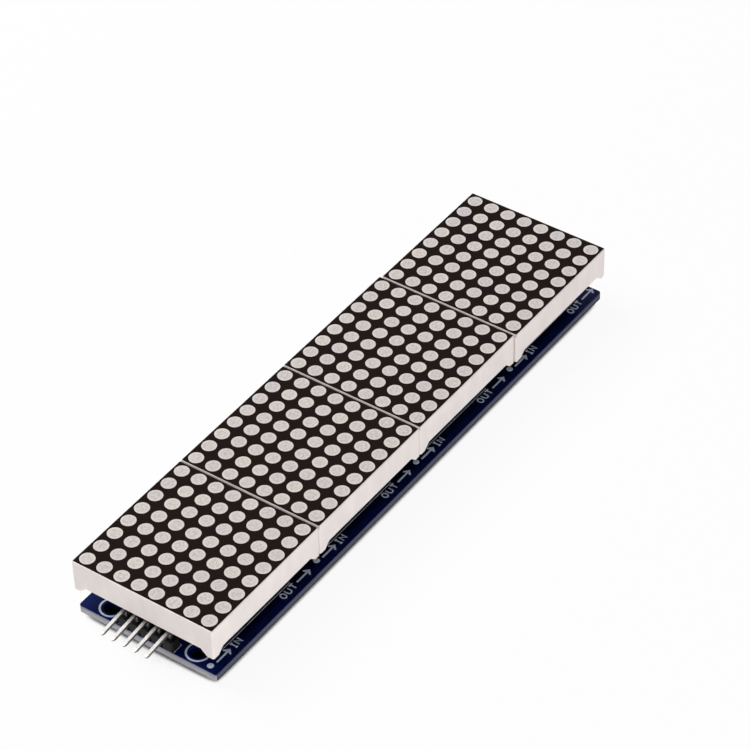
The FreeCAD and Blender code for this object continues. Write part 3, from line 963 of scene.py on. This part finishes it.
class ROW_OT_solder(bpy.types.Operator):
    """Solder the sockets and the header under the board"""

    bl_idname = "display_row.solder"
    bl_label = "Solder joints"

    def execute(self, context):
        # Tin alloy, wave soldered. To the eye: bright hollow cones, a little frosted.
        metal = grained_surface(
            "solder_wave_bright", {"Roughness": 0.28, "Metallic": 1.0},
            context.scene.row_colours.solder, 0.08, 0.25, 0.01, 0.1,
        )
        tree = repeat_tree()
        height = BOARD_LOW.z
        front_row = (SOCKET_LOW.y + SOCKET_HIGH.y) / 2
        joint = turned("socket_joint", solder_outline(*SOCKET_JOINT, height), 12)
        joints = grow("socket_solder", joint, tree, {
            "Columns": SOCKET_PINS, "Rows": 2,
            "Column Pitch": PIN_PITCH * MM, "Row Pitch": 2 * (TILE_MIDDLE.y - front_row) * MM,
            "Tiles": TILES, "Tile Pitch": TILE_PITCH * MM,
            "Grid Middle": board_place((SOCKET_LOW.x + SOCKET_HIGH.x) / 2, TILE_MIDDLE.y, -height),
            "Narrowest": 0.9, "Seed": 4, "Material": metal,
        })
        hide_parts(*on_each_tile("solder_joints"))
        joint = turned("header_joint", solder_outline(*HEADER_JOINT, height), 12)
        joints = grow("header_solder_joints", joint, tree, {
            "Columns": 1, "Rows": HEADER_PINS, "Row Pitch": PIN_PITCH * MM, "Tiles": 1,
            "Grid Middle": board_place((HEADER_LOW.x + HEADER_HIGH.x) / 2, TILE_MIDDLE.y, -height),
            "Narrowest": 0.95, "Seed": 9, "Material": metal,
        })
        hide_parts("header_solder")
        return {"FINISHED"}


class ROW_OT_header(bpy.types.Operator):
    """Finish the input header: its moulded block and square pins"""

    bl_idname = "display_row.header"
    bl_label = "Input header"

    def execute(self, context):
        colours = context.scene.row_colours
        # Glass-filled nylon, moulded. To the eye: black and satin, its edges caught by the light.
        nylon = grained_surface(
            "nylon_glass_filled_moulded", {"Roughness": 0.55, "Specular IOR Level": 0.15},
            colours.black_plastic, 0.25, 0.35, 0.012, 0.08,
        )
        block = rounded_copy("header_block", "header_body", BLOCK_ROUNDING, nylon)
        dress(["header_pins"], stamped_pin(colours.tin))
        return {"FINISHED"}


class ROW_OT_drivers(bpy.types.Operator):
    """Finish the driver chips, their leads and the small parts beside them"""

    bl_idname = "display_row.drivers"
    bl_label = "Driver chips"

    def execute(self, context):
        colours = context.scene.row_colours
        # Epoxy, transfer moulded. To the eye: near-black and matt, with a sandy skin.
        moulding = grained_surface(
            "epoxy_transfer_moulded", {"Roughness": 0.6, "IOR": 1.55},
            colours.chip, 0.2, 0.2, 0.012, 0.06,
        )
        dress(on_each_tile("driver_chip"), moulding)
        # Copper alloy, stamped and tinned. To the eye: silvery and slightly dull.
        leads = grained_surface(
            "copper_alloy_tinned", {"Roughness": 0.35, "Metallic": 1.0},
            colours.tin, 0.1, 0.15, 0.004, 0.08,
        )
        dress(on_each_tile("driver_leads"), leads)
        blocks = (
            ("bulk_capacitor", "ceramic_fired", colours.ceramic),
            ("bypass_capacitor", "ceramic_fired", colours.ceramic),
            ("set_resistor", "glaze_fired", colours.glaze),
        )
        for part, finish, body in blocks:
            for node in on_each_tile(part):
                dress([node], capped_block("%s_%s" % (finish, node), node, body, colours.tin))
        return {"FINISHED"}


class ROW_OT_studio(bpy.types.Operator):
    """Set up the paper floor, the lights and the camera"""

    bl_idname = "display_row.studio"
    bl_label = "Studio"

    def execute(self, context):
        settings = context.scene.row_studio
        scene = context.scene
        scene.view_settings.view_transform = "Standard"
        self.lay_paper(scene, settings)
        self.light_world(scene, settings)
        self.add_softbox(scene, "key_softbox", (-0.08, 0.7, 0.9), (0.7, 0.7), settings.key_light)
        self.add_softbox(scene, "side_softbox", (-0.16, -0.45, 0.05), (0.4, 0.08), settings.side_light)
        self.add_softbox(scene, "end_softbox", (-0.5, 0.05, 0.05), (0.4, 0.08), settings.end_light)
        self.place_camera(scene)
        return {"FINISHED"}

    def background_rays(self, tree):
        """1 for rays that should meet the plain white background: seen, mirrored or let through."""
        path = add_node(tree, "ShaderNodeLightPath", {}, {})
        seen = path["Is Camera Ray"]
        for kind in ("Is Glossy Ray", "Is Transmission Ray"):
            seen = add_node(
                tree, "ShaderNodeMath", {"operation": "MAXIMUM"},
                {"Value": seen, "Value_001": path[kind]},
            )["Value"]
        return seen

    def lay_paper(self, scene, settings):
        """White paper. To the eye: pure white with a breath of shadow, and painted shade beneath the
        board, where its colour and glow are turned black.
        """
        material = bpy.data.materials.new("paper_seamless_white")
        tree = emptied(material)
        open_sky = add_node(tree, "ShaderNodeAmbientOcclusion", {"samples": 16}, {"Distance": 20 * MM})
        # Painted shade: where the row covers the paper closely, its colour and its white glow go to
        # black.
        uncovered = add_node(
            tree, "ShaderNodeMapRange", {"interpolation_type": "SMOOTHSTEP"},
            {"Value": open_sky["AO"], "From Min": 0.2, "From Max": 0.45},
        )["Result"]
        shade = add_node(
            tree, "ShaderNodeMix", {"data_type": "RGBA"},
            {"Factor_Float": uncovered, "A_Color": linear("#000000"), "B_Color": settings.paper},
        )["Result_Color"]
        paper = add_node(tree, "ShaderNodeBsdfDiffuse", {}, {"Color": shade})
        white = add_node(
            tree, "ShaderNodeEmission", {}, {"Color": linear("#FFFFFF"), "Strength": 1.0},
        )
        share = self.background_rays(tree)
        for factor in (uncovered, 0.93):
            share = add_node(
                tree, "ShaderNodeMath", {"operation": "MULTIPLY"},
                {"Value": share, "Value_001": factor},
            )["Value"]
        mixed = add_node(
            tree, "ShaderNodeMixShader", {},
            {"Fac": share, "Shader": paper["BSDF"], "Shader_001": white["Emission"]},
        )
        add_node(tree, "ShaderNodeOutputMaterial", {}, {"Surface": mixed["Shader"]})
        shape = bmesh.new()
        bmesh.ops.create_grid(shape, x_segments=1, y_segments=1, size=5.0)
        mesh = keep_mesh("paper_floor", shape)
        mesh.materials.append(material)
        floor = bpy.data.objects.new("paper_floor", mesh)
        scene.collection.objects.link(floor)

    def light_world(self, scene, settings):
        scene.world = bpy.data.worlds.new("studio_surround")
        tree = emptied(scene.world)
        strength = add_node(
            tree, "ShaderNodeMapRange", {},
            {"Value": self.background_rays(tree), "To Min": settings.ambient, "To Max": 1.0},
        )
        glow = add_node(
            tree, "ShaderNodeBackground", {},
            {"Color": linear("#FFFFFF"), "Strength": strength["Result"]},
        )
        add_node(tree, "ShaderNodeOutputWorld", {}, {"Surface": glow["Background"]})

    def add_softbox(self, scene, name, place, size, power):
        """A softbox of a width and height that faces the middle of the row."""
        lamp = bpy.data.lights.new(name, "AREA")
        lamp.shape = "RECTANGLE"
        lamp.size, lamp.size_y = size
        lamp.energy = power
        softbox = bpy.data.objects.new(name, lamp)
        softbox.location = place
        softbox.rotation_mode = "QUATERNION"
        softbox.rotation_quaternion = (-Vector(place)).to_track_quat("-Z", "Y")
        scene.collection.objects.link(softbox)

    def place_camera(self, scene):
        view = bpy.data.cameras.new("photo_camera")
        view.lens = CAMERA_LENS
        view.sensor_width = CAMERA_SENSOR
        view.clip_end = 20.0
        camera = bpy.data.objects.new("photo_camera", view)
        camera.location = CAMERA_PLACE * MM
        camera.rotation_mode = "QUATERNION"
        level = (CAMERA_AIM - CAMERA_PLACE).to_track_quat("-Z", "Y")
        camera.rotation_quaternion = level @ Quaternion((0.0, 0.0, 1.0), CAMERA_ROLL)
        scene.collection.objects.link(camera)
        scene.camera = camera


class ROW_PT_panel(bpy.types.Panel):
    """Finishing steps and sizes of the display row"""

    bl_idname = "ROW_PT_panel"
    bl_label = "Display Row"
    bl_space_type = "VIEW_3D"
    bl_region_type = "UI"
    bl_category = "Display Row"

    def draw(self, context):
        layout = self.layout
        for step in STEPS:
            layout.operator(step.bl_idname)
        for group in (context.scene.row_colours, context.scene.row_marks, context.scene.row_studio):
            box = layout.box()
            for field in group.bl_rna.properties:
                if field.identifier in group.__annotations__:
                    box.prop(group, field.identifier)


STEPS = (
    ROW_OT_displays, ROW_OT_sockets, ROW_OT_board, ROW_OT_legend,
    ROW_OT_solder, ROW_OT_header, ROW_OT_drivers, ROW_OT_studio,
)
CLASSES = (FinishColours, MarkSizes, StudioSettings, *STEPS, ROW_PT_panel)


def register():
    for kind in CLASSES:
        bpy.utils.register_class(kind)
    bpy.types.Scene.row_colours = PointerProperty(type=FinishColours)
    bpy.types.Scene.row_marks = PointerProperty(type=MarkSizes)
    bpy.types.Scene.row_studio = PointerProperty(type=StudioSettings)


def unregister():
    del bpy.types.Scene.row_studio
    del bpy.types.Scene.row_marks
    del bpy.types.Scene.row_colours
    for kind in reversed(CLASSES):
        bpy.utils.unregister_class(kind)


def main():
    register()
    bpy.ops.display_row.displays()
    bpy.ops.display_row.sockets()
    bpy.ops.display_row.board()
    bpy.ops.display_row.legend()
    bpy.ops.display_row.solder()
    bpy.ops.display_row.header()
    bpy.ops.display_row.drivers()
    bpy.ops.display_row.studio()


if __name__ == "__main__":
    main()
